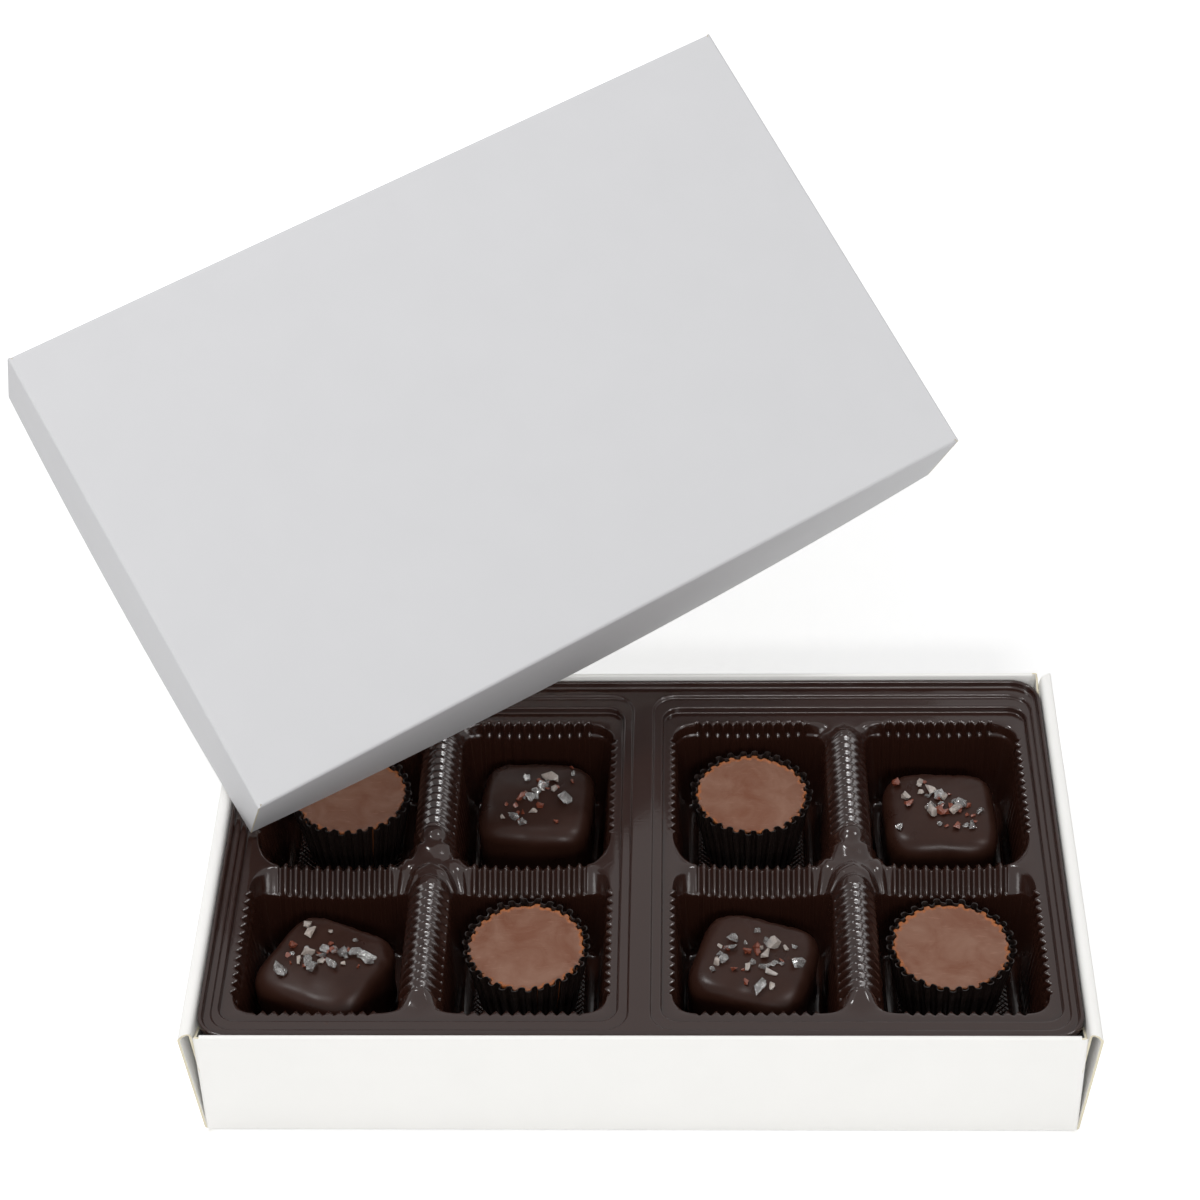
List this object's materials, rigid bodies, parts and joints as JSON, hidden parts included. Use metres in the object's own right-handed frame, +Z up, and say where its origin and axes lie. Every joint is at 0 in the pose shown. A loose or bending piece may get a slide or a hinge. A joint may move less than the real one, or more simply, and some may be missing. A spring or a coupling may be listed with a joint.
{
  "type": "chocolate box",
  "caption": "Shallow paperboard chocolate box with a ribbed plastic tray of filled chocolates and its plain lid leaning over one corner.",
  "frame": {"origin": "centre of the base carton's underside", "axes": "+Z up out of the open box, +X along the box's long side towards its right end, +Y away from the viewer towards the leaning lid"},
  "size_m": [0.2365, 0.2338, 0.1343],
  "materials": {
    "paperboard": "matte",
    "lid_board": "matte",
    "tray_plastic": "gloss",
    "cup_paper": "satin",
    "milk_chocolate": "satin",
    "soft_filling": "matte",
    "dark_chocolate": "satin",
    "caramel": "satin",
    "sea_salt": "gloss"
  },
  "bodies": {
    "base": {"base_carton": "paperboard"},
    "tray": {"candy_tray": "tray_plastic"},
    "lid": {"lid_carton": "lid_board"},
    "cup_1": {"cup_1_paper": "cup_paper", "cup_1_chocolate": "milk_chocolate", "cup_1_filling": "soft_filling"},
    "cup_2": {"cup_2_paper": "cup_paper", "cup_2_chocolate": "milk_chocolate", "cup_2_filling": "soft_filling"},
    "cup_3": {"cup_3_paper": "cup_paper", "cup_3_chocolate": "milk_chocolate", "cup_3_filling": "soft_filling"},
    "cup_4": {"cup_4_paper": "cup_paper", "cup_4_chocolate": "milk_chocolate", "cup_4_filling": "soft_filling"},
    "caramel_1": {"caramel_1_coating": "dark_chocolate", "caramel_1_centre": "caramel", "caramel_1_salt": "sea_salt"},
    "caramel_2": {"caramel_2_coating": "dark_chocolate", "caramel_2_centre": "caramel", "caramel_2_salt": "sea_salt"},
    "caramel_3": {"caramel_3_coating": "dark_chocolate", "caramel_3_centre": "caramel", "caramel_3_salt": "sea_salt"},
    "caramel_4": {"caramel_4_coating": "dark_chocolate", "caramel_4_centre": "caramel", "caramel_4_salt": "sea_salt"}
  },
  "joints": [
    {"name": "tray_lift", "type": "slide", "parent": "base", "child": "tray", "axis": [0, 0, 1], "range_m": [0, 0.035]},
    {"name": "lid_lift", "type": "slide", "parent": "tray", "child": "lid", "axis": [0, 0, 1], "range_m": [0, 0.08]},
    {"name": "cup_1_lift", "type": "slide", "parent": "tray", "child": "cup_1", "axis": [0, 0, 1], "range_m": [0, 0.03]},
    {"name": "cup_2_lift", "type": "slide", "parent": "tray", "child": "cup_2", "axis": [0, 0, 1], "range_m": [0, 0.03]},
    {"name": "cup_3_lift", "type": "slide", "parent": "tray", "child": "cup_3", "axis": [0, 0, 1], "range_m": [0, 0.03]},
    {"name": "cup_4_lift", "type": "slide", "parent": "tray", "child": "cup_4", "axis": [0, 0, 1], "range_m": [0, 0.03]},
    {"name": "caramel_1_lift", "type": "slide", "parent": "tray", "child": "caramel_1", "axis": [0, 0, 1], "range_m": [0, 0.03]},
    {"name": "caramel_2_lift", "type": "slide", "parent": "tray", "child": "caramel_2", "axis": [0, 0, 1], "range_m": [0, 0.03]},
    {"name": "caramel_3_lift", "type": "slide", "parent": "tray", "child": "caramel_3", "axis": [0, 0, 1], "range_m": [0, 0.03]},
    {"name": "caramel_4_lift", "type": "slide", "parent": "tray", "child": "caramel_4", "axis": [0, 0, 1], "range_m": [0, 0.03]}
  ],
  "couplings": [
    {"joint": "cup_1_lift", "follows": "lid_lift", "ratio": 0.375},
    {"joint": "caramel_2_lift", "follows": "lid_lift", "ratio": 0.375}
  ]
}
